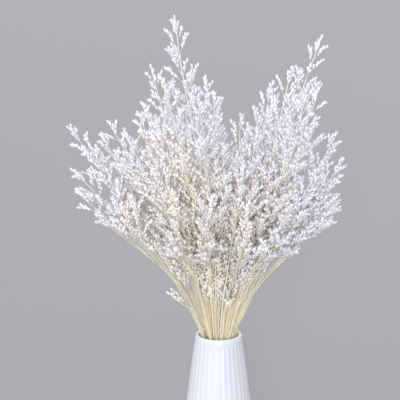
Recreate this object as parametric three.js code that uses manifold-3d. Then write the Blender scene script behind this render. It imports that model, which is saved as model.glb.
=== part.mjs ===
// A bunch of bleached, preserved caspia standing in a tall fluted vase.
// Millimetres, +Z up. The origin is the centre of the vase's foot, and the front faces -Y.
import * as THREE from "three";
import { mergeVertices } from "three/addons/utils/BufferGeometryUtils.js";
import Module from "manifold-3d";

const wasm = await Module();
wasm.setup();

const degrees = Math.PI / 180;
const sideAngle = 120 * degrees;

// Vase: the belly narrows by taper * (height above the belly) ^ taperPower
const vase = {
  height: 220,
  bellyRadius: 47,
  bellyHeight: 25,
  footRadius: 41,
  footRounding: 2.5,
  taper: 0.0318,
  taperPower: 1.24,
  wall: 3,
  floor: 6,
  innerRounding: 8,
  lipRounding: 1,
  flutes: 32,
  fluteDepth: 0.9,
  fluteStart: 5,
};

// Fan: a stem of lean 1 starts at mouthSpread from the vase's axis and leans atMouth there.
// It leans out by gain more with each millimetre up to arcLength, and runs straight past it.
// Below the mouth it turns upright again.
const fan = {
  mouthSpread: 20,
  atMouth: 17 * degrees,
  gain: 0.31 * degrees,
  arcLength: 95,
  uprightDepth: 24,
  floorGap: 0.4,
};

// Underside: no spray hangs below a bowl that rises steeply from the mouth, and more gently
// farther out. The bowl is wider from front to back.
const underside = {
  steep: 1.22,
  shallow: 0.83,
  rise: 16,
  narrowing: 0.95,
};

// Drift: the slow sideways waves that keep the stems from running straight
const drift = {
  reach: 5,
  rampHeight: 90,
  waveX: 68,
  waveY: 81,
  across: 60,
};

// Stems: how far each leans to the right, how far it leans to the back, and its length above
// the mouth
const stems = [
  // left of the middle
  [-0.15, -0.02, 347],
  [-0.29, 0.15, 297],
  [-0.25, -0.26, 300],
  [-0.04, 0.18, 279],
  [-0.03, -0.2, 275],
  [-0.38, -0.05, 266],
  [-0.59, 0.02, 257],
  [-0.52, -0.26, 250],
  [-0.79, 0.08, 270],
  [-0.91, -0.11, 235],
  [-0.93, -0.34, 223],
  [-0.69, 0.36, 246],
  [-0.43, 0.32, 252],
  [-0.4, -0.5, 240],
  [-0.21, 0.4, 282],
  [-0.11, -0.46, 292],
  [-0.82, -0.54, 186],
  [-0.58, 0.66, 198],
  [-0.24, 0.74, 222],
  [-0.14, -0.8, 212],
  [-0.44, -0.78, 196],
  // middle
  [0.19, -0.21, 240],
  [0.13, 0.04, 242],
  [0.05, 0.42, 224],
  [0.1, -0.54, 224],
  [0.06, 0.84, 204],
  [0.2, -0.88, 192],
  // right of the middle
  [0.29, 0.24, 280],
  [0.33, -0.06, 302],
  [0.43, 0.13, 338],
  [0.34, 0.52, 276],
  [0.37, -0.32, 290],
  [0.46, -0.12, 290],
  [0.68, 0.12, 248],
  [0.57, -0.34, 219],
  [0.75, -0.04, 228],
  [0.8, -0.26, 194],
  [0.56, 0.46, 244],
  [0.46, -0.66, 200],
  [0.38, 0.82, 202],
  [0.6, -0.52, 182],
  [0.8, 0.38, 188],
  [0.94, 0.14, 184],
];

// Sprays: where the flowers begin above the mouth, which is later on stems that lean more, and
// the side branches, which get shorter towards the top. Each turns past the last, and takes the
// first heading, angle and length that keep it clear of the others.
const spray = {
  sprigStretch: 40,
  start: 44,
  laterStart: 84,
  spacing: 19.4,
  topSpike: 32,
  longest: 73,
  shortest: 22,
  variation: 0.3,
  shorter: 0.25,
  turn: 137.5 * degrees,
  firstHeading: 126 * degrees,
  angles: [40 * degrees, 32 * degrees, 50 * degrees, 24 * degrees],
  shrinks: [1, 0.8, 0.62, 0.48],
  straighten: 0.35,
  stalk: 0.34,
};

// Wood: radii of the three-sided sticks, from corner to centre
const wood = {
  footRadius: 1.45,
  tipRadius: 1.2,
  branchRadius: 0.9,
  rootRadius: 0.5,
  branchTurn: 30 * degrees,
  sides: 3,
};

// Florets: toothed whorls, coarser than the real ones, which stand round each branch end
const floret = {
  pitch: 13,
  radius: 5.5,
  topRadius: 4.4,
  tipRadius: 3,
  waistRadius: 1.1,
  lift: 0.78,
  bareTip: 0.4,
};

// Beads: spheres set along what is placed, which keep the later branches clear of it
const bead = {
  spacing: 4,
  smallest: 2.2,
  clearance: 0.6,
};

// Low sprigs: the stems with a short side branch below their sprays, its length, and where on
// the first stretch it is rooted
const sprigStems = [10, 26, 34];
const sprigLength = 26;
const sprigRoot = 0.85;

const whiteGlaze = new THREE.MeshStandardMaterial({ color: 0xf1f3fa, roughness: 0.18, metalness: 0 });
const driedFlower = new THREE.MeshStandardMaterial({ color: 0xe6e0dc, roughness: 0.85, metalness: 0 });

// An even draw from 0 to 1 that is the same on every run
function draw(stem, stop) {
  const wave = Math.sin(stem * 12.9898 + stop * 78.233) * 43758.5453;
  return wave - Math.floor(wave);
}

// A closed three.js geometry as a manifold-3d solid
function solidOf(geometry) {
  const bare = new THREE.BufferGeometry();
  bare.setAttribute("position", geometry.getAttribute("position"));
  bare.setIndex(geometry.getIndex());
  const merged = mergeVertices(bare, 1e-4);
  const corners = [];
  const index = merged.index.array;
  for (let i = 0; i < index.length; i += 3) {
    const [a, b, c] = index.slice(i, i + 3);
    if (a !== b && b !== c && c !== a) corners.push(a, b, c);
  }
  const vertProperties = merged.attributes.position.array;
  return new wasm.Manifold(new wasm.Mesh({ numProp: 3, vertProperties, triVerts: new Uint32Array(corners) }));
}

// A manifold-3d solid as a named three.js mesh
function meshOf(solid, name, material) {
  const { numProp, vertProperties, triVerts } = solid.getMesh();
  const points = new THREE.InterleavedBuffer(vertProperties, numProp);
  const geometry = new THREE.BufferGeometry();
  geometry.setAttribute("position", new THREE.InterleavedBufferAttribute(points, 3, 0));
  geometry.setIndex(new THREE.BufferAttribute(triVerts, 1));
  const mesh = new THREE.Mesh(geometry.toNonIndexed(), material);
  mesh.geometry.computeVertexNormals();
  mesh.name = name;
  return mesh;
}

// The vase's outer radius at a height
function vaseRadius(height) {
  if (height >= vase.bellyHeight) {
    return vase.bellyRadius - vase.taper * (height - vase.bellyHeight) ** vase.taperPower;
  }
  const tuck = (vase.bellyHeight - height) / vase.bellyHeight;
  return vase.bellyRadius - (vase.bellyRadius - vase.footRadius) * tuck ** 2;
}

// The vase's outside, as an upright body whose flutes are cut in by a wave round the axis
function vaseBody() {
  const profile = [new THREE.Vector2(0, 0)];
  profile.push(new THREE.Vector2(vase.footRadius - vase.footRounding, 0));
  const heights = [vase.footRounding, 12, vase.bellyHeight, 100];
  heights.push(vase.height - vase.fluteStart, vase.height - vase.lipRounding);
  heights.forEach((height) => profile.push(new THREE.Vector2(vaseRadius(height), height)));
  profile.push(new THREE.Vector2(vaseRadius(vase.height) - vase.lipRounding, vase.height));
  profile.push(new THREE.Vector2(0, vase.height));
  const body = new THREE.LatheGeometry(profile, vase.flutes * 2).rotateX(Math.PI / 2);
  const point = new THREE.Vector3();
  const position = body.getAttribute("position");
  for (let i = 0; i < position.count; i++) {
    point.fromBufferAttribute(position, i);
    const fluted = point.z > vase.footRounding / 2 && point.z < vase.height - vase.fluteStart / 2;
    const round = Math.atan2(point.y, point.x) * vase.flutes;
    const depth = fluted ? (vase.fluteDepth * (1 - Math.cos(round))) / 2 : 0;
    const radius = Math.hypot(point.x, point.y);
    if (radius > 0) point.multiply(new THREE.Vector3(1 - depth / radius, 1 - depth / radius, 1));
    position.setXYZ(i, point.x, point.y, point.z);
  }
  return solidOf(body);
}

// The hollow of the vase, which runs past the mouth
function vaseHollow() {
  const past = vase.height + vase.floor;
  const heights = [vase.floor + vase.innerRounding, vase.bellyHeight, 90, 155, vase.height];
  const profile = [new THREE.Vector2(0, vase.floor)];
  const floorRadius = vaseRadius(vase.floor) - vase.wall - vase.innerRounding;
  profile.push(new THREE.Vector2(floorRadius, vase.floor));
  heights.forEach((height) => {
    profile.push(new THREE.Vector2(vaseRadius(height) - vase.wall, height));
  });
  profile.push(new THREE.Vector2(vaseRadius(vase.height) - vase.wall, past));
  profile.push(new THREE.Vector2(0, past));
  return solidOf(new THREE.LatheGeometry(profile, vase.flutes).rotateX(Math.PI / 2));
}

// Where the fan's point of leans a and b lies at the distance t along the stem from the mouth
function fanPoint(a, b, t) {
  const lean = Math.max(Math.hypot(a, b), 1e-4);
  const gain = lean * (t < 0 ? fan.atMouth / fan.uprightDepth : fan.gain);
  const start = lean * fan.atMouth;
  const arc = THREE.MathUtils.clamp(t, -fan.uprightDepth, fan.arcLength);
  const end = start + gain * arc;
  const straight = t - arc;
  const arcOut = (Math.cos(start) - Math.cos(end)) / gain;
  const arcUp = (Math.sin(end) - Math.sin(start)) / gain;
  const out = lean * fan.mouthSpread + arcOut + straight * Math.sin(end);
  const up = arcUp + straight * Math.cos(end);
  const ramp = THREE.MathUtils.smoothstep(up, 0, drift.rampHeight) * drift.reach;
  const x = (out * a) / lean;
  const y = (out * b) / lean;
  return new THREE.Vector3(
    x + ramp * Math.sin(up / drift.waveX + y / drift.across),
    y + ramp * Math.sin(up / drift.waveY + x / drift.across + 1),
    vase.height + up,
  );
}

// A three-sided stick through rings, each with its centre, its radius and its turn. side is a
// direction across the whole path.
function stick(rings, side) {
  const last = rings.length - 1;
  const geometry = new THREE.CylinderGeometry(1, 1, 1, wood.sides, last);
  const position = geometry.getAttribute("position");
  const corner = new THREE.Vector3();
  for (let i = 0; i < position.count; i++) {
    corner.fromBufferAttribute(position, i);
    const ring = Math.round((corner.y + 0.5) * last);
    const before = rings[Math.max(ring - 1, 0)].centre;
    const after = rings[Math.min(ring + 1, last)].centre;
    const along = after.clone().sub(before).normalize();
    const across = side.clone().addScaledVector(along, -side.dot(along)).normalize();
    const third = across.clone().cross(along);
    const reach = Math.hypot(corner.x, corner.z) * rings[ring].radius;
    const angle = Math.atan2(corner.x, corner.z) + rings[ring].turn;
    const place = rings[ring].centre.clone();
    place.addScaledVector(across, reach * Math.sin(angle));
    place.addScaledVector(third, reach * Math.cos(angle));
    position.setXYZ(i, place.x, place.y, place.z);
  }
  return solidOf(geometry);
}

// Rings of whorls from a stalk's end to the tip, whose florets stand forward over their waists
function whorlRings(at, from, to, radius, firstTurn) {
  const whorls = Math.max(2, Math.round((to - from) / floret.pitch));
  const pitch = (to - from) / (whorls + floret.bareTip);
  const rings = [{ centre: at(from), radius: wood.branchRadius, turn: firstTurn }];
  for (let whorl = 0; whorl < whorls; whorl++) {
    const share = whorl / (whorls - 1);
    const base = from + whorl * pitch;
    const turn = firstTurn + (whorl * sideAngle) / 2;
    const waist = { centre: at(base), radius: floret.waistRadius, turn: turn - sideAngle / 4 };
    if (whorl > 0) rings.push(waist);
    const lip = THREE.MathUtils.lerp(radius, floret.tipRadius, share);
    rings.push({ centre: at(base + floret.lift * pitch), radius: lip, turn });
  }
  rings.push({ centre: at(to), radius: 0, turn: firstTurn });
  return rings;
}

// Distances along a stem from the mouth between which its branches are rooted
function stopsOf(stem) {
  const [a, b, length] = stems[stem];
  const start = spray.start + spray.laterStart * (a * a + b * b);
  const zone = length - spray.topSpike - start;
  const count = Math.max(1, Math.round(zone / spray.spacing));
  const stops = [0, spray.sprigStretch];
  for (let stop = 0; stop <= count; stop++) stops.push(start + (zone * stop) / count);
  return stops;
}

// The heading of the branch on a stem's stretch after a stop
function headingAt(stem, stop) {
  return stem * spray.firstHeading + stop * spray.turn;
}

// A stem's own axis, from the vase's floor to the tip of its top spike. Its flat sides turn
// with the headings, so that each root meets the middle of one.
function stemAxis(stem) {
  const [a, b, length] = stems[stem];
  const at = (t) => fanPoint(a, b, t);
  const foot = -fan.uprightDepth - (at(-fan.uprightDepth).z - vase.floor - fan.floorGap);
  const sideTurn = spray.turn - sideAngle;
  const firstTurn = headingAt(stem, -0.5) - 90 * degrees;
  const stops = stopsOf(stem);
  const rings = [foot, -fan.uprightDepth, -fan.uprightDepth / 2].map((t) => {
    return { centre: at(t), radius: wood.footRadius, turn: firstTurn };
  });
  stops.slice(0, -1).forEach((t, stop) => {
    const radius = THREE.MathUtils.lerp(wood.footRadius, wood.tipRadius, t / length);
    rings.push({ centre: at(t), radius, turn: firstTurn + stop * sideTurn });
  });
  const spikeStart = stops[stops.length - 1];
  const spikeTurn = firstTurn + (stops.length - 1) * sideTurn;
  rings.push(...whorlRings(at, spikeStart, length, floret.topRadius, spikeTurn));
  return stick(rings, new THREE.Vector3(1, 0, 0));
}

// A course that leaves a root at an angle to along, towards out, and straightens up on its way
function courseOf(root, along, out, angle, length) {
  const rate = (-spray.straighten * angle) / length;
  return (distance) => {
    const end = angle + rate * distance;
    const forward = (Math.sin(end) - Math.sin(angle)) / rate;
    const sideways = (Math.cos(angle) - Math.cos(end)) / rate;
    return root.clone().addScaledVector(along, forward).addScaledVector(out, sideways);
  };
}

// Beads along a course, which are wide where its florets are
function beadsAlong(at, from, to, radiusAt) {
  const count = Math.ceil((to - from) / bead.spacing);
  return Array.from({ length: count + 1 }, (_, i) => {
    const distance = from + ((to - from) * i) / count;
    return { point: at(distance), radius: Math.max(radiusAt(distance), bead.smallest) };
  });
}

// Whether a tip is above the underside
function isAbove(tip) {
  const spread = Math.hypot(tip.x, underside.narrowing * tip.y);
  const bowl = Math.min(underside.steep * spread, underside.rise + underside.shallow * spread);
  return tip.z - vase.height >= bowl;
}

// Whether a branch's beads keep clear of all the others
function isClear(beads, others) {
  return beads.every(({ point, radius }) => others.every((other) => {
    return point.distanceTo(other.point) > radius + other.radius + bead.clearance;
  }));
}

// The first branch on a stem's stretch after a stop that is clear of what is placed
function placeBranch(stem, stop, reach, others) {
  const [a, b] = stems[stem];
  const [low, high] = stopsOf(stem).slice(stop, stop + 2).map((t) => fanPoint(a, b, t));
  const root = low.clone().lerp(high, stop ? 0.5 : sprigRoot);
  const along = high.clone().sub(low).normalize();
  const across = new THREE.Vector3(1, 0, 0).addScaledVector(along, -along.x).normalize();
  const third = along.clone().cross(across);
  for (const shrink of spray.shrinks) {
    for (const angle of spray.angles) {
      for (const side of [0, 1, 2]) {
        const heading = headingAt(stem, stop) + side * sideAngle;
        const out = across.clone().multiplyScalar(Math.cos(heading));
        out.addScaledVector(third, Math.sin(heading));
        const length = reach * shrink;
        const at = courseOf(root, along, out, angle, length);
        const wide = (distance) => (distance < spray.stalk * length ? 0 : floret.radius);
        const beads = beadsAlong(at, bead.spacing, length, wide);
        if (stop && !isAbove(at(length))) continue;
        if (isClear(beads, others)) return { at, length, beads, across: out.clone().cross(along) };
      }
    }
  }
  return null;
}

// All the stems' side branches. The beads of every stem's axis are set first.
function placeBranches() {
  const axes = stems.map(([a, b, length]) => {
    const wide = (t) => (t < length - spray.topSpike ? 0 : floret.topRadius);
    return beadsAlong((t) => fanPoint(a, b, t), 0, length, wide);
  });
  const branches = stems.map(() => []);
  stems.forEach(([a, b], stem) => {
    const stops = stopsOf(stem);
    const full = 1 - spray.shorter * (a * a + b * b);
    for (let stop = 0; stop < stops.length - 1; stop++) {
      if (stop === 1 || (stop === 0 && !sprigStems.includes(stem))) continue;
      const share = (stop - 2) / (stops.length - 3);
      const reach = THREE.MathUtils.lerp(spray.longest, spray.shortest, share);
      const varied = reach * full * (1 + spray.variation * (draw(stem, stop) - 0.5));
      const size = stop ? varied : sprigLength;
      const others = axes.flatMap((beads, owner) => {
        return beads.filter(({ radius }) => owner !== stem || radius > bead.smallest);
      });
      others.push(...branches.flat().flatMap((branch) => branch.beads));
      const branch = placeBranch(stem, stop, size, others);
      if (branch) branches[stem].push(branch);
    }
  });
  return branches;
}

// A side branch: a bare stalk that starts inside the stem, then its whorls
function sideBranch({ at, length, across }) {
  const root = { centre: at(0), radius: wood.rootRadius, turn: wood.branchTurn };
  const whorls = whorlRings(at, spray.stalk * length, length, floret.radius, wood.branchTurn);
  return stick([root, ...whorls], across);
}

const caspia = new THREE.Group();
caspia.add(meshOf(vaseBody().subtract(vaseHollow()), "vase", whiteGlaze));
placeBranches().forEach((branches, stem) => {
  const name = "caspia_stem_" + String(stem + 1).padStart(2, "0");
  const solid = wasm.Manifold.union([stemAxis(stem), ...branches.map(sideBranch)]);
  caspia.add(meshOf(solid, name, driedFlower));
});

export default caspia;
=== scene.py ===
import math

import bpy
import numpy as np
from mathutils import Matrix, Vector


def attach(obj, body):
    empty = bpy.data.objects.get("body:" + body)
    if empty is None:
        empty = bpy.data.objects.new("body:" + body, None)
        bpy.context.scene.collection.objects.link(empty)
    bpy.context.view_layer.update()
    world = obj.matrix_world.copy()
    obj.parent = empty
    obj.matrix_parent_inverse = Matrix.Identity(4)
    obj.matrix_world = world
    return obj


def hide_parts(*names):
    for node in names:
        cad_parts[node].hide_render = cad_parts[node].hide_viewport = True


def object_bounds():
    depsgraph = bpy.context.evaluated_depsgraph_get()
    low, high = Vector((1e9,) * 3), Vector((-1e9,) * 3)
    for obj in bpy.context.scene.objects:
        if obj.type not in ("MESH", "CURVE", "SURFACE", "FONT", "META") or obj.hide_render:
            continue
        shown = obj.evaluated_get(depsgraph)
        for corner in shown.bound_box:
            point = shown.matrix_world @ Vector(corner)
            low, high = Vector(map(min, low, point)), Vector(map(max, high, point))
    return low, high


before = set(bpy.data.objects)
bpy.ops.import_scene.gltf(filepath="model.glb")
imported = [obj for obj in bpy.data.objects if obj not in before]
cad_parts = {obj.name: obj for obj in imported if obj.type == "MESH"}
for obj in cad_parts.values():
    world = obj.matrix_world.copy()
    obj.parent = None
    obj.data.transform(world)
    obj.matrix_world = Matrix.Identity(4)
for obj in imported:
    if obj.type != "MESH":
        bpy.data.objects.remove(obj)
cadBox = [list(corner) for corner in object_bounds()]
degree = math.pi / 180
wholeTurn = 2 * math.pi
metresPerMillimetre = 0.001
print("frame: ", len(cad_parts), "nodes")


# Camera, lights and floor

camera = {
    "place": (-0.02035, -1.422, 0.698),
    "pitchDown": 13,
    "lens": 122.76,
    "sensor": 36,
}

studio = {
    "skyColour": (0.97, 0.98, 1.0),
    "skyStrength": 0.88,
    "floorColour": (0.33, 0.335, 0.34),
    "floorRoughness": 0.9,
    "floorSide": 400.0,  # metres
    # name: where it shines from, watts a square metre, width in degrees, colour
    "suns": {
        "keySun": ((-0.85, -0.7, 0.62), 0.7, 30, (1.0, 0.985, 0.965)),
        "frontSun": ((-0.06, -1.0, 0.21), 1.76, 12, (0.98, 0.98, 1.0)),
        "backSun": ((0.5, 0.8, 0.5), 0.7, 40, (0.93, 0.9, 1.0)),
    },
}


def placeCamera():
    data = bpy.data.cameras.new("camera")
    data.sensor_width = camera["sensor"]
    data.lens = camera["lens"]
    holder = bpy.data.objects.new("camera", data)
    holder.location = camera["place"]
    holder.rotation_euler = ((90 - camera["pitchDown"]) * degree, 0, 0)
    bpy.context.scene.collection.objects.link(holder)
    bpy.context.scene.camera = holder


def placeSuns():
    world = bpy.data.worlds.new("studioSky")
    world.use_nodes = True
    sky = world.node_tree.nodes["Background"]
    sky.inputs["Color"].default_value = (*studio["skyColour"], 1)
    sky.inputs["Strength"].default_value = studio["skyStrength"]
    bpy.context.scene.world = world
    for name, ((right, back, up), strength, width, colour) in studio["suns"].items():
        data = bpy.data.lights.new(name, "SUN")
        data.energy = strength
        data.angle = width * degree
        data.color = colour
        sun = bpy.data.objects.new(name, data)
        sun.rotation_euler = (math.atan2(math.hypot(right, back), up), 0, math.atan2(right, -back))
        bpy.context.scene.collection.objects.link(sun)


def placeFloor():
    half = studio["floorSide"] / 2
    corners = [(-half, -half, 0), (half, -half, 0), (half, half, 0), (-half, half, 0)]
    floorMesh = bpy.data.meshes.new("floor")
    floorMesh.from_pydata(corners, [], [(0, 1, 2, 3)])
    fixed = {"Base Color": (*studio["floorColour"], 1), "Roughness": studio["floorRoughness"]}
    floorMesh.materials.append(Recipe("paleFloor", fixed).material)
    floorObject = bpy.data.objects.new("floor", floorMesh)
    bpy.context.scene.collection.objects.link(floorObject)


# Shader maths: a value works out + - * / with Math nodes, and a recipe adds any other node

class Value:
    def __init__(self, recipe, socket):
        self.recipe = recipe
        self.socket = socket

    def math(self, operation, *others):
        made = self.recipe.add("ShaderNodeMath", {"operation": operation}, dict(enumerate(others)))
        return Value(self.recipe, made.outputs[0])

    def __add__(self, other):
        return self.math("ADD", self, other)

    def __radd__(self, other):
        return self.math("ADD", other, self)

    def __sub__(self, other):
        return self.math("SUBTRACT", self, other)

    def __rsub__(self, other):
        return self.math("SUBTRACT", other, self)

    def __mul__(self, other):
        return self.math("MULTIPLY", self, other)

    def __rmul__(self, other):
        return self.math("MULTIPLY", other, self)

    def __truediv__(self, other):
        return self.math("DIVIDE", self, other)

    def __pow__(self, other):
        return self.math("POWER", self, other)

    def floor(self):
        return self.math("FLOOR", self)

    def fraction(self):
        return self.math("FRACT", self)

    def cosine(self):
        return self.math("COSINE", self)

    def clipped(self):
        return self.math("MAXIMUM", self.math("MINIMUM", self, 1), 0)


class Recipe:
    # A material whose Principled shader takes even values in fixed, and anything varied by feed
    def __init__(self, name, fixed):
        self.material = bpy.data.materials.new(name)
        self.material.use_nodes = True
        self.tree = self.material.node_tree
        self.shader = self.tree.nodes["Principled BSDF"]
        for socket, value in fixed.items():
            self.shader.inputs[socket].default_value = value

    def add(self, kind, settings={}, inputs={}):
        node = self.tree.nodes.new(kind)
        for setting, value in settings.items():
            if setting == "stops":
                self.setStops(node.color_ramp, value)
            else:
                setattr(node, setting, value)
        for socket, value in inputs.items():
            self.join(node.inputs[socket], value)
        return node

    # The first two stops are the ramp's own, and lie at its ends
    def setStops(self, ramp, stops):
        for i, (place, colour) in enumerate(stops):
            stop = ramp.elements[i] if i < 2 else ramp.elements.new(place)
            stop.position = place
            stop.color = (*colour, 1)

    def join(self, socket, value):
        if isinstance(value, Value):
            value = value.socket
        if isinstance(value, bpy.types.NodeSocket):
            self.tree.links.new(value, socket)
        elif isinstance(value, tuple):
            socket.default_value = (*value, 1) if socket.type == "RGBA" else value
        else:
            socket.default_value = value

    def value(self, socket):
        return Value(self, socket)

    def feed(self, socket, value):
        self.join(self.shader.inputs[socket], value)

    def mix(self, share, first, second):
        made = self.add("ShaderNodeMix", {"data_type": "RGBA"}, {0: share, 6: first, 7: second})
        return made.outputs[2]

    def ramp(self, value, stops):
        return self.add("ShaderNodeValToRGB", {"stops": stops}, {0: value}).outputs[0]

    def axes(self, vector):
        split = self.add("ShaderNodeSeparateXYZ", {}, {0: vector})
        return [self.value(socket) for socket in split.outputs]

    def noise(self, vector, scale, detail):
        made = self.add("ShaderNodeTexNoise", {}, {"Vector": vector, "Scale": scale, "Detail": detail})
        return self.value(made.outputs[0])

    def bump(self, height, strength, distance):
        sockets = {"Height": height, "Strength": strength, "Distance": distance}
        self.feed("Normal", self.add("ShaderNodeBump", {}, sockets).outputs[0])


# Mesh code: a part is its points, its triangles, and a UV for each corner of each triangle

uvName = "OFBake"

# a triangle runs over the seam when its shares round the axis differ by more than widest, and then
# those under past lie beyond it
seam = {"widest": 0.6, "past": 0.3}


# Vectors divided by their lengths
def unit(vectors):
    return vectors / np.linalg.norm(vectors, axis=-1, keepdims=True)


# Sums of the products of two vectors' parts
def dot(first, second):
    return (first * second).sum(-1, keepdims=True)


# Shares round an axis, a row for each triangle, with 1 added to those beyond the seam
def overSeam(around):
    split = around.max(1) - around.min(1) > seam["widest"]
    return around + (split[:, None] & (around < seam["past"]))


# 0 up to low, 1 from high on, and 3 * share ^ 2 - 2 * share ^ 3 between them
def smoothStep(value, low, high):
    share = np.clip((value - low) / (high - low), 0, 1)
    return share * share * (3 - 2 * share)


# Copies of one part: each point array is points[i], and each copy has its own UVs
def copiesOf(points, faces, uvs):
    firsts = np.arange(len(points)) * points.shape[1]
    allFaces = faces[None] + firsts[:, None, None]
    return points.reshape(-1, 3), allFaces.reshape(-1, 3), uvs.reshape(-1, 3, 2)


# One piece from (part, material index) pairs, which rides on the root and stands for its node
def makePiece(name, node, parts, materials):
    firsts = np.cumsum([0] + [len(part[0]) for part, _ in parts])
    points = np.concatenate([part[0] for part, _ in parts]) * metresPerMillimetre
    faces = np.concatenate([part[1] + first for (part, _), first in zip(parts, firsts)])
    uvs = np.concatenate([part[2] for part, _ in parts])
    worn = np.concatenate([np.full(len(part[1]), index) for part, index in parts])
    mesh = bpy.data.meshes.new(name)
    mesh.vertices.add(len(points))
    mesh.vertices.foreach_set("co", points.astype(np.float32).ravel())
    mesh.loops.add(faces.size)
    mesh.loops.foreach_set("vertex_index", faces.astype(np.int32).ravel())
    mesh.polygons.add(len(faces))
    mesh.polygons.foreach_set("loop_start", np.arange(0, faces.size, 3, dtype=np.int32))
    mesh.polygons.foreach_set("material_index", worn.astype(np.int32))
    mesh.polygons.foreach_set("use_smooth", np.ones(len(faces), bool))
    mesh.uv_layers.new(name=uvName).uv.foreach_set("vector", uvs.astype(np.float32).ravel())
    mesh.update(calc_edges=True)
    for material in materials:
        mesh.materials.append(material)
    piece = bpy.data.objects.new(name, mesh)
    bpy.context.scene.collection.objects.link(piece)
    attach(piece, "root")
    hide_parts(node)
    return len(faces)


# Vase

vase = {
    "height": 220,
    "bellyRadius": 47,
    "bellyHeight": 25,
    "footRadius": 41,
    "footRounding": 2.5,
    "taper": 0.0318,
    "taperPower": 1.24,
    "wall": 3,
    "floor": 6,
    "innerRounding": 8,
    "flutes": 32,
    "fluteDepth": 0.5,
    "fluteSharpness": 0.8,  # under 1, the channels are wider than the ridges between them
    "fluteStart": 5,
    "fluteFade": 3.5,
    "columnsPerFlute": 12,
    "wallRows": 52,
    "roundingRows": 6,
}

glaze = {
    "fixed": {"IOR": 1.5, "Coat Weight": 0.3, "Coat Roughness": 0.22},
    "tone": (0.675, 0.715, 0.765),
    # a darker lilac: painted shade in the flute channels, and also the tone of the glaze's clouds
    "shadeAndCloudTone": (0.57, 0.575, 0.72),
    "insideTone": (0.86, 0.81, 0.72),
    "footTone": (0.78, 0.74, 0.68),
    # how much painted lilac shade the flute channels get
    "paintedFluteShade": 0.1,
    "clouded": 0.2,
    "clouds": (28, 2),  # scale and detail
    "pinholes": (900, 1),
    "pinholeHeight": 0.3,
    "roughness": 0.26,
    "cloudRoughness": 0.12,
    "footRoughness": 0.4,
    "bareFoot": 0.4,  # the foot is unglazed up to this share of its rounding
    "lipRows": 1.5,  # the inside begins this many rows of the profile past its top
    "bump": (0.12, 0.0006),  # strength and distance
}


# The outer radius narrows below the belly by a square, and above it by taper * rise ^ taperPower
def vaseRadius(height):
    rise = np.maximum(height - vase["bellyHeight"], 0)
    tuck = np.maximum(vase["bellyHeight"] - height, 0) / vase["bellyHeight"]
    narrowing = (vase["bellyRadius"] - vase["footRadius"]) * tuck ** 2
    return vase["bellyRadius"] - vase["taper"] * rise ** vase["taperPower"] - narrowing


# Radius and height along an arc in degrees: centre + size * (cos, sin)
def arc(centre, size, start, end, rows):
    angle = np.linspace(start, end, rows) * degree
    return centre[0] + size * np.cos(angle), centre[1] + size * np.sin(angle)


# Radius and height from the middle of the foot, up the outside, over the lip, and down the inside
def vaseProfile():
    rows = vase["roundingRows"]
    rounding, half = vase["footRounding"], vase["wall"] / 2
    lip = (float(vaseRadius(vase["height"])) - half, vase["height"] - half)
    cove = vase["innerRounding"]
    outside = np.linspace(rounding, lip[1], vase["wallRows"])
    inside = np.linspace(lip[1], vase["floor"] + cove, vase["wallRows"] // 2)
    foot = (float(vaseRadius(rounding)) - rounding, rounding)
    corner = (float(vaseRadius(vase["floor"] + cove)) - vase["wall"] - cove, vase["floor"] + cove)
    runs = [
        arc(foot, rounding, -90, 0, rows),
        (vaseRadius(outside)[1:], outside[1:]),
        tuple(run[1:] for run in arc(lip, half, 0, 180, 2 * rows)),
        (vaseRadius(inside)[1:] - vase["wall"], inside[1:]),
        tuple(run[1:] for run in arc(corner, cove, 0, -90, rows)),
    ]
    return np.concatenate([run[0] for run in runs]), np.concatenate([run[1] for run in runs])


# The profile turned round the axis. Each flute cuts in by depth * ((1 - cos(flutes * turn)) / 2) ^
# sharpness, and fades out at the foot and under the lip.
def vasePart():
    radius, height = vaseProfile()
    columns = vase["flutes"] * vase["columnsPerFlute"]
    turn = np.arange(columns) * wholeTurn / columns
    channel = ((1 - np.cos(vase["flutes"] * turn)) / 2) ** vase["fluteSharpness"]
    top = vase["height"] - vase["fluteStart"]
    outer = np.arange(len(height)) <= height.argmax()
    fade = smoothStep(height, 0, vase["footRounding"] * 2)
    fade = fade * (1 - smoothStep(height, top - vase["fluteFade"], top)) * outer
    cut = radius[:, None] - vase["fluteDepth"] * fade[:, None] * channel[None]
    heights = np.repeat(height[:, None], columns, 1)
    around = np.stack([cut * np.cos(turn), cut * np.sin(turn), heights], -1)
    rows = len(height)
    points = np.concatenate([around.reshape(-1, 3), [[0, 0, height[0]], [0, 0, height[-1]]]])
    row, column = [grid.ravel() for grid in np.mgrid[0:rows - 1, 0:columns]]
    after = (column + 1) % columns
    low, high = row * columns, (row + 1) * columns
    ring = np.arange(columns)
    nextRing = (ring + 1) % columns
    last = (rows - 1) * columns
    faces = np.concatenate([
        np.stack([low + column, low + after, high + after], 1),
        np.stack([low + column, high + after, high + column], 1),
        np.stack([np.full(columns, rows * columns), nextRing, ring], 1),
        np.stack([np.full(columns, rows * columns + 1), last + ring, last + nextRing], 1),
    ])
    along = np.concatenate([np.repeat(np.arange(rows) / (rows - 1), columns), [0, 1]])
    turned = np.concatenate([np.tile(np.arange(columns) / columns, rows), [0.5, 0.5]])
    return points, faces, np.stack([overSeam(turned[faces]), along[faces]], -1)
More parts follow.
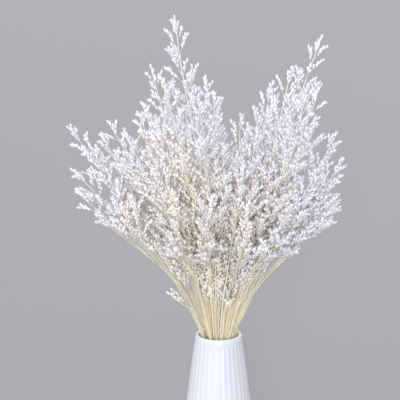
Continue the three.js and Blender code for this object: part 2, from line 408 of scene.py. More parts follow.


# White glaze with painted lilac shade in the flute channels and cloudy lilac patches, over a cream
# inside and a biscuit foot
def whiteGlaze():
    recipe = Recipe("whiteGlaze", glaze["fixed"])
    place = recipe.add("ShaderNodeTexCoord").outputs["Object"]
    _, along, _ = recipe.axes(recipe.add("ShaderNodeUVMap", {"uv_map": uvName}).outputs[0])
    _, height = vaseProfile()
    lip = (height.argmax() + glaze["lipRows"]) / (len(height) - 1)
    inside = along.math("GREATER_THAN", along, lip)
    x, y, z = recipe.axes(place)
    turn = y.math("ARCTAN2", y, x) * vase["flutes"]
    below = (vase["height"] - vase["fluteStart"]) * metresPerMillimetre
    # painted shade: the flute channels darken to lilac below the top of the flutes
    paintedFluteShade = (1 - turn.cosine()) / 2 * z.math("LESS_THAN", z, below)
    cloud = recipe.noise(place, *glaze["clouds"])
    pinholes = recipe.noise(place, *glaze["pinholes"])
    tint = paintedFluteShade * glaze["paintedFluteShade"] + cloud * glaze["clouded"]
    tone = recipe.mix(tint, glaze["tone"], glaze["shadeAndCloudTone"])
    tone = recipe.mix(inside, tone, glaze["insideTone"])
    bareFoot = vase["footRounding"] * glaze["bareFoot"] * metresPerMillimetre
    biscuit = z.math("LESS_THAN", z, bareFoot)
    recipe.feed("Base Color", recipe.mix(biscuit, tone, glaze["footTone"]))
    roughness = glaze["roughness"] + cloud * glaze["cloudRoughness"] + biscuit * glaze["footRoughness"]
    recipe.feed("Roughness", roughness)
    recipe.bump(pinholes * glaze["pinholeHeight"] + cloud, *glaze["bump"])
    return recipe.material


# Stems: the fan's lines and the side branches, as their solids have them

fan = {
    "mouthSpread": 20,
    "atMouth": 17 * degree,  # for a lean of 1, the tilt in the mouth and what each millimetre adds
    "gain": 0.31 * degree,
    "arcLength": 95,
    "uprightDepth": 24,  # so far below the mouth the stems are upright
    "floorGap": 0.4,
    "leastLean": 1e-4,
}

# the cone under the flowers, which is steep near the axis and shallow further out
underside = {
    "steep": 1.22,
    "shallow": 0.83,
    "rise": 16,
    "narrowing": 0.95,
}

# a stem drifts to either side by a wave of its height
drift = {
    "reach": 5,
    "rampHeight": 90,
    "waveX": 68,
    "waveY": 81,
    "across": 60,
    "shift": 1,  # how far one wave is ahead of the other
}

# how far each stem leans to the right, how far it leans to the back, and its length above the mouth
stems = [
    [-0.15, -0.02, 347], [-0.29, 0.15, 297], [-0.25, -0.26, 300], [-0.04, 0.18, 279],
    [-0.03, -0.2, 275], [-0.38, -0.05, 266], [-0.59, 0.02, 257], [-0.52, -0.26, 250],
    [-0.79, 0.08, 270], [-0.91, -0.11, 235], [-0.93, -0.34, 223], [-0.69, 0.36, 246],
    [-0.43, 0.32, 252], [-0.4, -0.5, 240], [-0.21, 0.4, 282], [-0.11, -0.46, 292],
    [-0.82, -0.54, 186], [-0.58, 0.66, 198], [-0.24, 0.74, 222], [-0.14, -0.8, 212],
    [-0.44, -0.78, 196], [0.19, -0.21, 240], [0.13, 0.04, 242], [0.05, 0.42, 224],
    [0.1, -0.54, 224], [0.06, 0.84, 204], [0.2, -0.88, 192], [0.29, 0.24, 280],
    [0.33, -0.06, 302], [0.43, 0.13, 338], [0.34, 0.52, 276], [0.37, -0.32, 290],
    [0.46, -0.12, 290], [0.68, 0.12, 248], [0.57, -0.34, 219], [0.75, -0.04, 228],
    [0.8, -0.26, 194], [0.56, 0.46, 244], [0.46, -0.66, 200], [0.38, 0.82, 202],
    [0.6, -0.52, 182], [0.8, 0.38, 188], [0.94, 0.14, 184],
]

spray = {
    "sprigStretch": 40,
    "start": 44,
    "laterStart": 84,
    "spacing": 19.4,
    "topSpike": 32,  # the stretch at the tip that has no side branches
    "longest": 73,
    "shortest": 22,
    "variation": 0.3,
    "shorter": 0.25,
    "turn": 137.5 * degree,
    "firstHeading": 126 * degree,
    "sides": 3,
    "sideTurn": 120 * degree,
    "angles": [40 * degree, 32 * degree, 50 * degree, 24 * degree],
    "shrinks": [1, 0.8, 0.62, 0.48],
    "straighten": 0.35,
    "stalk": 0.34,  # the share of a side branch that is bare
    "sprigStems": [10, 26, 34],  # the stems with a low sprig, counted from 0
    "sprigLength": 26,
    "sprigRoot": 0.85,  # how far up its stretch a low sprig is rooted
    "branchRoot": 0.5,
}

bead = {
    "spacing": 4,
    "smallest": 2.2,
    "clearance": 0.6,
    "floret": 5.5,
    "topFloret": 4.4,
    "nearby": 4,  # beads are looked at up to this many florets beyond a branch's reach
}

# factors of the even draw
drawBy = {"stem": 12.9898, "stop": 78.233, "wave": 43758.5453}


# An even draw from 0 to 1: what a steep sine wave has past its last whole number
def draw(stem, stop):
    wave = math.sin(stem * drawBy["stem"] + stop * drawBy["stop"]) * drawBy["wave"]
    return wave - math.floor(wave)


# Points of the fan at distances t from the mouth: an arc whose lean grows with the distance, a straight
# past it, and slow waves that set in over the first stretch
def fanPoints(a, b, t):
    t = np.asarray(t, float)
    lean = max(math.hypot(a, b), fan["leastLean"])
    gain = lean * np.where(t < 0, fan["atMouth"] / fan["uprightDepth"], fan["gain"])
    start = lean * fan["atMouth"]
    bent = np.clip(t, -fan["uprightDepth"], fan["arcLength"])
    end = start + gain * bent
    straight = t - bent
    out = lean * fan["mouthSpread"] + (math.cos(start) - np.cos(end)) / gain + straight * np.sin(end)
    up = (np.sin(end) - math.sin(start)) / gain + straight * np.cos(end)
    ramp = smoothStep(up, 0, drift["rampHeight"]) * drift["reach"]
    x, y = out * a / lean, out * b / lean
    waveX = ramp * np.sin(up / drift["waveX"] + y / drift["across"])
    waveY = ramp * np.sin(up / drift["waveY"] + x / drift["across"] + drift["shift"])
    return np.stack([x + waveX, y + waveY, vase["height"] + up], -1)


# The distance from the mouth where a stem's flowers begin, which is later on one that leans more
def startOf(stem):
    a, b, _ = stems[stem]
    return spray["start"] + spray["laterStart"] * (a * a + b * b)


# Distances from the mouth between which a stem's branches are rooted
def stopsOf(stem):
    start, length = startOf(stem), stems[stem][2]
    zone = length - spray["topSpike"] - start
    count = max(1, math.floor(zone / spray["spacing"] + 0.5))
    return [0, spray["sprigStretch"]] + [start + zone * i / count for i in range(count + 1)]


# A course is its root, the direction along its carrier, the direction out from it, the angle at which
# it leaves, and its length. Its points lie on an arc whose angle falls evenly, in all by the share
# straighten. Returns points and directions at distances.
def coursePoints(course, distance, straighten):
    root, along, out, angle, length = course
    rate = -straighten * angle / length
    end = angle + rate * distance
    forward = (np.sin(end) - np.sin(angle)) / rate
    sideways = (np.cos(angle) - np.cos(end)) / rate
    points = root + along * forward[..., None] + out * sideways[..., None]
    return points, along * np.cos(end)[..., None] + out * np.sin(end)[..., None]


# Beads on a line from one distance to another, as distances
def beadDistances(start, end):
    count = math.ceil((end - start) / bead["spacing"])
    return start + (end - start) * np.arange(count + 1) / count


# How high above the mouth the flowers' underside is, at a distance from the axis: the lower of two lines
def undersideAt(distance):
    return min(underside["steep"] * distance, underside["rise"] + underside["shallow"] * distance)


# The first side branch on a stretch, over shorter lengths, other angles and other sides, that clears
# the beads of what is placed and the cone under the flowers. Returns its course and its beads.
def placeBranch(stem, stop, reach, others):
    a, b, _ = stems[stem]
    low, high = fanPoints(a, b, stopsOf(stem)[stop:stop + 2])
    root = low + (high - low) * spray["branchRoot" if stop else "sprigRoot"]
    along = unit(high - low)
    across = unit(np.array([1, 0, 0]) - along * along[0])
    third = np.cross(along, across)
    looked = reach + bead["nearby"] * bead["floret"]
    near = others[np.linalg.norm(others[:, :3] - root, axis=1) < looked]
    for shrink in spray["shrinks"]:
        for angle in spray["angles"]:
            for side in range(spray["sides"]):
                heading = stem * spray["firstHeading"] + stop * spray["turn"] + side * spray["sideTurn"]
                out = across * math.cos(heading) + third * math.sin(heading)
                length = reach * shrink
                course = (root, along, out, angle, length)
                at = beadDistances(bead["spacing"], length)
                points, _ = coursePoints(course, at, spray["straighten"])
                radii = np.where(at < spray["stalk"] * length, bead["smallest"], bead["floret"])
                x, y, z = points[-1]
                distance = math.hypot(x, underside["narrowing"] * y)
                if stop and z - vase["height"] < undersideAt(distance):
                    continue
                gaps = np.linalg.norm(points[:, None] - near[None, :, :3], axis=2)
                if (gaps > radii[:, None] + near[None, :, 3] + bead["clearance"]).all():
                    return course, np.column_stack([points, radii])
    return None


# Every stem's side branches, with the beads of all the stems' own axes set first. Stretch 0 of a stem
# is for a low sprig, and stretch 1 stays bare.
def placeBranches():
    axes = []
    for a, b, length in stems:
        at = beadDistances(0, length)
        radii = np.where(at < length - spray["topSpike"], bead["smallest"], bead["topFloret"])
        axes.append(np.column_stack([fanPoints(a, b, at), radii]))
    placed, courses = [], []
    for stem, (a, b, _) in enumerate(stems):
        stops = stopsOf(stem)
        own = []
        axisBeads = [beads if other != stem else beads[beads[:, 3] > bead["smallest"]]
                     for other, beads in enumerate(axes)]
        for stop in range(len(stops) - 1):
            if stop == 1 or (stop == 0 and stem not in spray["sprigStems"]):
                continue
            share = (stop - 2) / (len(stops) - 3)
            reach = (1 - share) * spray["longest"] + share * spray["shortest"]
            size = spray["sprigLength"]
            if stop:
                varied = 1 + spray["variation"] * (draw(stem, stop) - 0.5)
                size = reach * varied * (1 - spray["shorter"] * (a * a + b * b))
            found = placeBranch(stem, stop, size, np.concatenate(axisBeads + placed))
            if found:
                own.append(found[0])
                placed.append(found[1])
        courses.append(own)
    return courses


# Fine sprays: twigs along each side branch and along the upper stem, and florets along each twig

stalk = {
    "footRadius": 0.8,
    "thinner": 0.42,  # how much thinner the thinnest stem is
    "topRadius": 0.38,
    "taperPower": 2,
    "ringPitch": 8.5,
    "sides": 6,
    "tipShare": 0.5,  # a branch or twig narrows to this share of its radius
    "poles": (-0.6, 1.2),  # where a tube's end points are past its first and last ring, in radii
    "paleFrom": 30,
    "paleTo": 250,
    "tipPaler": 60,  # a branch's or twig's tip is as pale as a stem this much higher
    "tones": 8,
    "toneSpread": 5,  # a branch has its stem's tone or one of the next few
}

# a branch and a twig are as pale as a stem that is paler millimetres higher
branchTube = {"radius": 0.5, "rings": 8, "sides": 5, "paler": 0}
twigTube = {"radius": 0.32, "rings": 3, "sides": 3, "paler": 90}

twig = {
    "pitch": 5.6,
    "frontSparser": 0.35,  # how much further apart twigs are on stems that lean to the front
    "from": 0.15,
    "to": 0.88,
    "place": (0.2, 0.8),  # between which shares of its own stretch a twig stands
    "angle": 41 * degree,
    "angleSpread": 7 * degree,
    "straighten": 0.3,
    "upperTurn": 42 * degree,  # on a side branch, how far a twig turns to either side from straight up
    "turnSpread": 24 * degree,
    "longest": 17,
    "shortest": 11,
    "shortBranch": 12,  # twigs are shortest on a branch of this length, and longest on longBranch
    "longBranch": 70,
    "rootSize": 1.15,
    "tipSmaller": 0.55,
    "lengthSpread": 0.28,
    "bareShare": 0.36,
    "margin": 4,  # how far a twig may reach past the solids' box
}

# twigs on the upper stem itself
axisTwig = {
    "early": 22,  # how much sooner they begin on an upright stem
    "lateFront": 70,  # how much later they begin on a stem that leans to the front
    "pitch": 7.6,
    "longest": 18,
    "shortest": 15,
    "shrinkPower": 3,
    "firstSize": 0.6,  # the first twigs are this share of the full size, and grow over a stretch
    "growOver": 70,
    "firstAngle": 0.5,  # the first twigs open this share of the full angle, and more over a stretch
    "openOver": 90,
    "turn": 137.5 * degree,
    "flatness": 0.3,  # how far headings gather towards the plane of the fan
}

# the leans to the front from which a stem counts as one at the front, first in part and then wholly
front = {"from": 0.25, "to": 0.6}

# the spike of florets on a stem's tip
leader = {
    "from": 17,
    "length": 14,
    "angle": 0.02,
    "straighten": 0.5,
    "overlap": 4,  # how far the twigs run on beside it
    "bareShare": 0.0,
    "room": 0.62,  # a twig near the tip is at most this share of its distance to the tip
}

# thin shoots that leave a stem low down and rise beside it, with small twigs on their upper part
shoot = {
    "count": 6,
    "tall": 2,  # so many of them stay bare for longer and stand on the outer side
    "pitch": 7,
    "lowest": 4,
    "earliest": 80,  # the first one leaves the stem this far below its twigs, and the last one latest
    "latest": 34,
    "flowersAt": 28,  # where the first one's twigs begin
    "laterFlowers": 22,
    "flowersStep": 12,  # how much further up the next one's begin
    "flowersSpread": 0.4,
    "overlap": 46,
    "turn": 58 * degree,
    "turnSpread": 0.3,
    "lengthSpread": 0.2,
    "angle": 7.5 * degree,
    "angleSpread": 4 * degree,
    "radius": 0.4,
    "closeness": 0.45,
    "turnOut": 0.5,  # stems that lean more than this have their shoots on the outer side
    "bareFront": 0.35,  # stems that lean further than this to the front have only tall shoots
    "tallRise": 105,  # the tallest one's flowers begin this much higher
    "tallAngle": 5 * degree,
    "tallTurn": 1,  # how far a tall one turns to either side from outwards
    "tallTip": 75,
    "tallRadius": 0.7,
    "tallPale": 0.35,
    "bareShare": 0.85,
}

floret = {
    "pitch": 2.4,
    "rootSize": 6.6,
    "middleSize": 8.0,
    "middleAt": 0.6,
    "tipSize": 7.0,
    "sizeSpread": 0.15,
    "rootAngle": 26 * degree,
    "tipAngle": 30 * degree,
    "angleSpread": 7 * degree,
    "upward": 1.5,  # a floret leans this much more upwards than sideways
    "outward": 0.25,
    "branchBare": 0.5,  # the share of a side branch that has no florets of its own
    "lobes": 5,
    "waistAt": 0.34,
    "waistRadius": 0.125,
    "lipRadius": 0.18,
    "notchRadius": 0.17,
    "notchAt": 0.8,
    "throatAt": 0.66,
    "throatStage": 0.8,
    "tones": 16,
    "smallest": 0.82,
    "fullTwig": 14,  # a twig this long or longer has florets of full size
}

# florets are creamy by reach - distance / (core + widening * height), fading out between two heights,
# where the distance is from an axis a little to the left, with the depth counted less. The cream of the
# core and the bottom of the flower mass is painted warm shade, and the axis set to the left is painted
# light that leaves the right side lilac
cream = {
    "left": 9,
    "depthShare": 0.65,
    "reach": 1.25,
    "core": 24,
    "widening": 0.7,
    "fadeFrom": 120,
    "fadeTo": 270,
    "share": 0.75,
    "floretSpread": 0.16,
    "stemSpread": 0.12,
    # painted light: stems that lean to the right are less cream and more lilac
    "paintedLightLeftwards": 0.12,
}

# where each finish lies in the UV map, from left to right, and where a band starts and how wide it is
mapShare = {"floret": (0.02, 0.48), "stalk": (0.52, 0.98)}
bandShare = (0.04, 0.92)

upright = 0.8  # a direction whose upward part is over this is upright
nearly = 1e-6  # keeps a point on the axis from having no way out
xAxis = np.array([1.0, 0, 0])
zAxis = np.array([0, 0, 1.0])


# Owners repeated by their counts, and 0, 1, 2... within each
def stepsOf(counts):
    owner = np.repeat(np.arange(len(counts)), counts)
    return owner, np.arange(len(owner)) - np.repeat(np.cumsum(counts) - counts, counts)


# Those of the courses that are kept or picked
def chosen(courses, which):
    return tuple(values[which] for values in courses)


# Two or more sets of courses as one
def joined(*groups):
    return tuple(np.concatenate(values) for values in zip(*groups))


# Even draws from -widest to widest
def evenDraws(widest, count, random):
    return random.uniform(-widest, widest, count)


# Draws from a bell curve, cut off at two deviations
def bellDraws(count, random):
    return random.standard_normal(count).clip(-2, 2)


# Unit directions square to others, from the X axis for upright leads and from the Z axis otherwise
def squareTo(directions, leads):
    reference = np.where(np.abs(leads[..., 2:]) > upright, xAxis, zAxis)
    return unit(reference - directions * dot(directions, reference))


# UVs from a share along the part, a share round it, and the tone whose band of the map it lies in
def mapped(along, around, tone, finish, tones):
    low, high = mapShare[finish]
    band = (tone + bandShare[0] + bandShare[1] * around) / tones
    return np.stack(np.broadcast_arrays(low + (high - low) * along, band), -1)


# Tubes through rings of points: paths is (tubes, rings, 3), and radii (tubes, rings). Both ends close
# in a point. A ring is centre + radius * (across * cos(turn) + third * sin(turn)).
def tubes(paths, radii, stages, tones, sides):
    count, rings = radii.shape
    tangent = unit(np.gradient(paths, axis=1))
    across = squareTo(tangent, tangent.mean(1, keepdims=True))
    third = np.cross(tangent, across)
    turn = np.arange(sides)[:, None] * wholeTurn / sides
    circle = across[:, :, None] * np.cos(turn) + third[:, :, None] * np.sin(turn)
    around = paths[:, :, None] + circle * radii[..., None, None]
    ends = [0, -1]
    past = np.array(stalk["poles"])[:, None]
    poles = paths[:, ends] + tangent[:, ends] * radii[:, ends, None] * past
    points = np.concatenate([around.reshape(count, -1, 3), poles], 1)
    ring, side = [grid.ravel() for grid in np.mgrid[0:rings - 1, 0:sides]]
    rim = np.arange(sides)
    first, last = rim * 0, rim * 0 + rings - 1
    corners = np.concatenate([  # ring and side of each corner, with a pole as ring -1 or ring rings
        np.stack([[ring, side], [ring, side + 1], [ring + 1, side + 1]], -1),
        np.stack([[ring, side], [ring + 1, side + 1], [ring + 1, side]], -1),
        np.stack([[first - 1, rim], [first, rim + 1], [first, rim]], -1),
        np.stack([[last + 1, rim], [last, rim], [last, rim + 1]], -1),
    ], 1)
    ringOf, sideOf = corners
    lastPole = rings * sides + 1
    faces = np.where(ringOf == rings, lastPole, ringOf * sides + sideOf % sides)
    faces = np.where(ringOf < 0, lastPole - 1, faces)
    along = stages[:, ringOf.clip(0, rings - 1)]
    uvs = mapped(along, sideOf[None] / sides, tones[:, None, None], "stalk", stalk["tones"])
    return copiesOf(points, faces, uvs)


# One floret of length 1 on the Z axis: a funnel from a point through a waist to a lip of pointed lobes,
# and down into its throat
def floretShape():
    lobes = floret["lobes"]
    turn = np.arange(lobes) * wholeTurn / lobes
    between = turn + math.pi / lobes
    rings = [
        (turn, floret["waistRadius"], floret["waistAt"]),
        (turn, floret["lipRadius"], 1.0),
        (between, floret["notchRadius"], floret["notchAt"]),
    ]
    points = [np.stack([r * np.cos(t), r * np.sin(t), np.full(lobes, z)], 1) for t, r, z in rings]
    points = np.concatenate(points + [[[0, 0, 0], [0, 0, floret["throatAt"]]]])
    waist = np.arange(lobes)
    after = (waist + 1) % lobes
    lip, notch = waist + lobes, waist + 2 * lobes
    base = waist * 0 + 3 * lobes
    throat = base + 1
    faces = np.concatenate([np.stack(corners, 1) for corners in [
        (base, after, waist), (waist, after, notch), (waist, notch, lip),
        (after, after + lobes, notch), (throat, lip, notch), (throat, notch, after + lobes),
    ]])
    along = np.concatenate([np.full(lobes, z) for _, _, z in rings] + [[0, floret["throatStage"]]])
    around = np.concatenate([waist, waist, waist + 0.5, [0.5, 0.5]]) / lobes
    return points, faces, along[faces], overSeam(around[faces])


shape = floretShape()


# Florets at points, each heading its own way, with its own size, roll and tone
def florets(points, headings, sizes, rolls, tones):
    shapePoints, faces, along, around = shape
    side = squareTo(headings, headings)
    third = np.cross(headings, side)
    across = side * np.cos(rolls)[:, None] + third * np.sin(rolls)[:, None]
    third = np.cross(headings, across)
    frameOf = np.stack([across, third, headings], 1) * sizes[:, None, None]
    placed = points[:, None] + shapePoints @ frameOf
    uvs = mapped(along[None], around[None], tones[:, None, None], "floret", floret["tones"])
    return copiesOf(placed, faces, uvs)


# Unit directions square to carriers, at headings round them that start from a lean
def directionsAround(directions, headings, lean):
    across = unit(lean - directions * dot(directions, lean))
    third = np.cross(directions, across)
    return across * np.cos(headings)[:, None] + third * np.sin(headings)[:, None]


# Which courses have tips that are not far outside the solids' box
def withinReach(courses, straighten):
    *_, lengths = courses
    tips, _ = coursePoints(courses, lengths, straighten)
    low, high = np.array(cadBox) / metresPerMillimetre
    return ((tips > low - twig["margin"]) & (tips < high + twig["margin"])).all(1)


# The tone of each floret, from 0 for lilac white to the last for cream: painted warm shade in the core
# and bottom of the mass, and a random spread
def floretTones(points, stemTint, random):
    distance = np.hypot(points[:, 0] + cream["left"], cream["depthShare"] * points[:, 1])
    height = points[:, 2] - vase["height"]
    # painted shade: florets turn cream towards the core and the bottom of the mass
    inner = cream["reach"] - distance / (cream["core"] + cream["widening"] * height.clip(0))
    inner = inner.clip(0, 1) * (1 - smoothStep(height, cream["fadeFrom"], cream["fadeTo"]))
    tone = cream["share"] * inner + stemTint
    tone = tone + cream["floretSpread"] * random.standard_normal(len(points))
    return np.floor(tone * floret["tones"]).clip(0, floret["tones"] - 1)


# Two rows of florets along courses, leaning forward, up and to either side, and one on each tip
def floretRows(courses, straighten, bareShare, stemTint, random):
    *_, lengths = courses
    counts = np.maximum(np.round(lengths * (1 - bareShare) / floret["pitch"]), 2).astype(int)
    owner, step = stepsOf(counts + 1)
    share = step / counts[owner]
    distance = lengths[owner] * (bareShare + (1 - bareShare) * share)
    points, tangents = coursePoints(chosen(courses, owner), distance, straighten)
    outward = unit(points * (1, 1, 0) + nearly)
    up = zAxis + floret["outward"] * outward
    up = unit(up - tangents * dot(tangents, up))
    side = np.cross(tangents, up) * np.where(step % 2, 1.0, -1.0)[:, None]
    aside = unit(side + up * floret["upward"])
    lean = floret["rootAngle"] + (floret["tipAngle"] - floret["rootAngle"]) * share
    lean = lean + floret["angleSpread"] * bellDraws(len(owner), random)
    lean = np.where(share == 1, 0, lean)[:, None]
    headings = unit(tangents * np.cos(lean) + aside * np.sin(lean))
    fullSizes = [floret["rootSize"], floret["middleSize"], floret["tipSize"]]
    sizes = np.interp(share, [0, floret["middleAt"], 1], fullSizes)
    sizes = sizes * (1 + floret["sizeSpread"] * bellDraws(len(owner), random))
    sizes = sizes * (lengths[owner] / floret["fullTwig"]).clip(floret["smallest"], 1)
    rolls = random.uniform(0, wholeTurn, len(owner))
    return florets(points, headings, sizes, rolls, floretTones(points, stemTint, random))


# How pale a stalk is at a height above the mouth, from 0 for straw to 1
def paleness(height):
    return smoothStep(height, stalk["paleFrom"], stalk["paleTo"])


# How far a stem that leans to the back by b counts as one at the front, from 0 to 1
def frontShare(b):
    return float(smoothStep(-b, front["from"], front["to"]))


# Courses of a stem's shoots, the share of each where its twigs begin, and which are tall
def shootCourses(stem, random):
    a, b, length = stems[stem]
    count = shoot["count"]
    order = np.arange(count)
    steps = order + evenDraws(shoot["flowersSpread"], count, random)
    flowers = shoot["flowersAt"] + shoot["laterFlowers"] * a * a
    flowers = flowers + shoot["flowersStep"] * steps
    rise = np.clip(1 - (count - 1 - order) / shoot["tall"], 0, 1)
    tall = rise > 0
    flowers = np.minimum(flowers + shoot["tallRise"] * rise, length - shoot["tallTip"] * tall)
    below = np.linspace(shoot["earliest"], shoot["latest"], count)
    at = np.maximum(flowers - below, shoot["lowest"])
    roots = fanPoints(a, b, at)
    alongs = unit(fanPoints(a, b, at + 1) - roots)
    outwards = math.atan2(b, a)
    facing = outwards + math.pi * (math.hypot(a, b) < shoot["turnOut"])
    places = order - count / 2 + 1 + evenDraws(shoot["turnSpread"], count, random)
    tallHeadings = outwards + evenDraws(shoot["tallTurn"], count, random)
    headings = np.where(tall, tallHeadings, facing + shoot["turn"] * places)
    outs = directionsAround(alongs, headings, xAxis)
    angles = shoot["angle"] + shoot["angleSpread"] * evenDraws(1, count, random)
    angles = np.where(tall, shoot["tallAngle"], angles)
    lengths = flowers + shoot["overlap"] - at
    lengths = lengths * (1 + shoot["lengthSpread"] * evenDraws(1, count, random))
    courses = (roots, alongs, outs, angles, lengths)
    kept = withinReach(courses, spray["straighten"]) & (tall | (b > -shoot["bareFront"]))
    return chosen((*courses, (flowers - at) / lengths, tall), kept)


# A stem's own tube, from just above the vase's inner floor to the tip
def stemTube(stem, tone):
    a, b, length = stems[stem]
    depth = fan["uprightDepth"]
    foot = -depth - (fanPoints(a, b, -depth)[2] - vase["floor"] - fan["floorGap"])
    rings = np.linspace(foot, length, math.ceil((length - foot) / stalk["ringPitch"]))
    share = (rings / length).clip(0, 1)
    radii = stalk["footRadius"] * (1 - stalk["thinner"] * draw(stem, 0))
    radii = radii + (stalk["topRadius"] - radii) * share ** stalk["taperPower"]
    path = fanPoints(a, b, rings)[None]
    return tubes(path, radii[None], paleness(rings)[None], np.array([tone]), stalk["sides"])


# Tubes along courses, narrowing and paling evenly towards their tips
def courseTubes(courses, straighten, tube, radii, paleShares, tones):
    *_, lengths = courses
    steps = np.linspace(0, 1, tube["rings"])
    stepped = tuple(values[:, None] for values in courses)
    points, _ = coursePoints(stepped, lengths[:, None] * steps, straighten)
    sizes = radii[:, None] * (1 + (stalk["tipShare"] - 1) * steps)
    height = points[..., 2] - vase["height"] + tube["paler"] + stalk["tipPaler"] * steps
    return tubes(points, sizes, paleness(height) * paleShares[:, None], tones, tube["sides"])


# Courses of twigs off carriers, which open less where opened is under 1
def twigCourses(roots, directions, outs, lengths, opened, random):
    angles = twig["angle"] + twig["angleSpread"] * bellDraws(len(lengths), random)
    return roots, directions, outs, angles * opened, lengths


# Twigs on side branches and shoots, to either side of straight up, beyond a first share of each
def branchTwigs(carriers, onShoot, first, b, random):
    *_, lengths = carriers
    reach = twig["to"] - first
    pitch = twig["pitch"] * (1 + twig["frontSparser"] * frontShare(b))
    counts = np.round(lengths * reach / np.where(onShoot, shoot["pitch"], pitch))
    counts = np.maximum(counts, 1).astype(int)
    owner, step = stepsOf(counts)
    place = step + random.uniform(*twig["place"], len(owner))
    along = first[owner] + reach[owner] * place / counts[owner]
    distance = along * lengths[owner]
    roots, directions = coursePoints(chosen(carriers, owner), distance, spray["straighten"])
    headings = np.where(step % 2, 1, -1) * twig["upperTurn"]
    headings = headings + twig["turnSpread"] * bellDraws(len(owner), random)
    outs = directionsAround(directions, headings, zAxis)
    grown = smoothStep(lengths[owner], twig["shortBranch"], twig["longBranch"])
    sizes = twig["shortest"] + (twig["longest"] - twig["shortest"]) * grown
    sizes = sizes * (twig["rootSize"] - twig["tipSmaller"] * along)
    sizes = sizes * (1 + twig["lengthSpread"] * evenDraws(1, len(owner), random))
    opened = np.where(onShoot[owner], shoot["closeness"], 1)
    return twigCourses(roots, directions, outs, sizes, opened, random)


# Twigs on the upper stem itself, each turned past the last, and shorter near the tip
def axisTwigs(stem, random):
    a, b, length = stems[stem]
    start = startOf(stem) - axisTwig["early"] * max(0, 1 - a * a - b * b)
    start = start + axisTwig["lateFront"] * frontShare(b)
    count = max(1, round((length - start) / axisTwig["pitch"]))
    zone = length - start - leader["from"] + leader["overlap"]
    at = start + zone * (np.arange(count) + 0.5) / count
    roots = fanPoints(a, b, at)
    directions = unit(fanPoints(a, b, at + 1) - roots)
    headings = np.arange(count) * axisTwig["turn"] + random.uniform(0, wholeTurn)
    shrunk = (at / length) ** axisTwig["shrinkPower"]
    sizes = axisTwig["longest"] + (axisTwig["shortest"] - axisTwig["longest"]) * shrunk
    grown = smoothStep(at, start, start + axisTwig["growOver"])
    sizes = sizes * (axisTwig["firstSize"] + (1 - axisTwig["firstSize"]) * grown)
    sizes = sizes * (1 + twig["lengthSpread"] * evenDraws(1, count, random))
    sizes = np.minimum(sizes, (length - at) * leader["room"])
    opening = smoothStep(at, start, start + axisTwig["openOver"])
    opened = axisTwig["firstAngle"] + (1 - axisTwig["firstAngle"]) * opening
    headings = headings - axisTwig["flatness"] * np.sin(2 * headings)
    outs = directionsAround(directions, headings, xAxis)
    return twigCourses(roots, directions, outs, sizes, opened, random)


# The course of the spike on a stem's tip
def spikeCourse(stem):
    a, b, length = stems[stem]
    low, high = fanPoints(a, b, [length - leader["from"], length])
    along = unit(high - low)
    course = (low, along, np.cross(along, [0, 1.0, 0]), leader["angle"], leader["length"])
    return tuple(np.array([value]) for value in course)


# A stem with its side branches and shoots, their twigs and all their florets
def stemParts(stem, sideBranches):
    random = np.random.default_rng(stem + 1)
    a, b, _ = stems[stem]
    # the stem's tint: a random spread, plus painted light that makes stems leaning to the right more
    # lilac
    stemTint = cream["stemSpread"] * random.standard_normal() - cream["paintedLightLeftwards"] * a
    mainTone = random.integers(0, stalk["tones"])

    branches = tuple(np.array(values) for values in zip(*sideBranches))
    *shoots, shootFirst, tall = shootCourses(stem, random)
    carriers = joined(branches, shoots)
    count = len(branches[0]) + len(tall)
    onShoot = np.arange(count) >= len(branches[0])
    radii, paleShares = np.full(count, branchTube["radius"]), np.ones(count)
    radii[onShoot] = np.where(tall, shoot["tallRadius"], shoot["radius"])
    paleShares[onShoot] = np.where(tall, shoot["tallPale"], 1)
    first = np.full(count, twig["from"])
    first[onShoot] = shootFirst
    tones = (mainTone + random.integers(0, stalk["toneSpread"], count)) % stalk["tones"]
    branchTubes = courseTubes(carriers, spray["straighten"], branchTube, radii, paleShares, tones)

    twigs = joined(branchTwigs(carriers, onShoot, first, b, random), axisTwigs(stem, random))
    twigs = chosen(twigs, withinReach(twigs, twig["straighten"]))
    count = len(twigs[0])
    radii, paleShares = np.full(count, twigTube["radius"]), np.ones(count)
    tones = random.integers(0, stalk["tones"], count)
    twigTubes = courseTubes(twigs, twig["straighten"], twigTube, radii, paleShares, tones)

    rows = [
        (twigs, twig["straighten"], twig["bareShare"]),
        (branches, spray["straighten"], floret["branchBare"]),
        (shoots, spray["straighten"], shoot["bareShare"]),
        (spikeCourse(stem), leader["straighten"], leader["bareShare"]),
    ]
    stalks = [(part, 0) for part in (stemTube(stem, mainTone), branchTubes, twigTubes)]
    return stalks + [(floretRows(*row, stemTint, random), 1) for row in rows]


# The share along, the tone from 0 to 1, and the share round, as mapped puts them in the UV map
def readMap(recipe, finish, tones):
    u, v, _ = recipe.axes(recipe.add("ShaderNodeUVMap", {"uv_map": uvName}).outputs[0])
    low, high = mapShare[finish]
    bands = v * tones
    return (u - low) / (high - low), bands.floor() / (tones - 1), bands.fraction()


# Ribs that run lengthwise, so many round the part, from 0 between them to 1
def ribsAround(around, count):
    return (around * (wholeTurn * count)).cosine() * 0.5 + 0.5


# tones lie at places on a ramp, with its two ends first
straw = {
    "fixed": {"Roughness": 0.58, "IOR": 1.45},
    "tones": [
        (0.0, (0.87, 0.82, 0.64)),
        (1.0, (0.82, 0.72, 0.52)),
        (0.28, (0.87, 0.68, 0.47)),
        (0.56, (0.88, 0.86, 0.46)),
        (0.84, (0.90, 0.88, 0.80)),
    ],
    "paleTone": (0.94, 0.91, 0.84),
    "paleShare": 0.8,
    "ribs": 6,
    "ribTone": (0.66, 0.57, 0.40),
    "ribShare": 0.16,
    "ribFade": 0.1,
    "bump": (0.35, 0.0002),
}

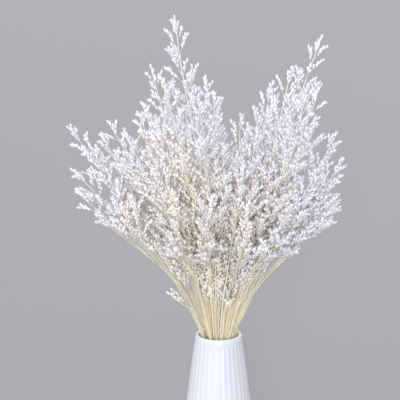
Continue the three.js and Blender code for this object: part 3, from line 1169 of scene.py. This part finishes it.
paper = {
    "fixed": {"Roughness": 0.72, "IOR": 1.4, "Sheen Weight": 0.12},
    "tones": [
        (0.0, (0.835, 0.835, 0.95)),
        (1.0, (0.95, 0.90, 0.80)),
        (0.35, (0.875, 0.865, 0.92)),
        (0.65, (0.93, 0.895, 0.85)),
    ],
    "baseTone": (0.82, 0.76, 0.60),
    "baseShare": 0.3,
    "ribTone": (0.68, 0.60, 0.48),
    "ribShare": 0.16,
    "ribReach": 1.2,
    "ribSharpness": 6,
    "bump": (0.3, 0.0001),
}


# Straw stalks: each tone its own straw, paler towards the flowers and ribbed lengthwise
def strawStalk():
    recipe = Recipe("strawStalk", straw["fixed"])
    pale, band, around = readMap(recipe, "stalk", stalk["tones"])
    colour = recipe.ramp(band, straw["tones"])
    colour = recipe.mix(pale * straw["paleShare"], colour, straw["paleTone"])
    ribs = ribsAround(around, straw["ribs"])
    ribShare = ribs * (straw["ribShare"] - straw["ribFade"] * pale)
    recipe.feed("Base Color", recipe.mix(ribShare, colour, straw["ribTone"]))
    recipe.bump(ribs * -1, *straw["bump"])
    return recipe.material


# Papery florets: lilac white to cream by tone, where the cream is partly painted shade, with ribs, and
# straw at the narrow base
def paperyFloret():
    recipe = Recipe("paperyFloret", paper["fixed"])
    along, band, around = readMap(recipe, "floret", floret["tones"])
    colour = recipe.ramp(band, paper["tones"])
    base = (1 - along).clipped() ** 2
    colour = recipe.mix(base * paper["baseShare"], colour, paper["baseTone"])
    ribs = ribsAround(around, floret["lobes"]) ** paper["ribSharpness"]
    ribShare = ribs * paper["ribShare"] * (paper["ribReach"] - along)
    recipe.feed("Base Color", recipe.mix(ribShare, colour, paper["ribTone"]))
    recipe.bump(ribs, *paper["bump"])
    return recipe.material


placeCamera()
placeSuns()
placeFloor()
bpy.context.scene.view_settings.view_transform = "Standard"
print("studio: ", len(studio["suns"]), "suns")

vaseFaces = makePiece("flutedVase", "vase", [(vasePart(), 0)], [whiteGlaze()])
print("vase: ", vaseFaces, "triangles")

finishes = [strawStalk(), paperyFloret()]
branchCourses = placeBranches()
print("branches: ", sum(len(courses) for courses in branchCourses))

stemFaces = []
for stem, courses in enumerate(branchCourses):
    number = f"{stem + 1:02d}"
    parts = stemParts(stem, courses)
    name, node = "caspiaSpray" + number, "caspia_stem_" + number
    stemFaces.append(makePiece(name, node, parts, finishes))
print("sprays: ", sum(stemFaces), "triangles, the largest", max(stemFaces))
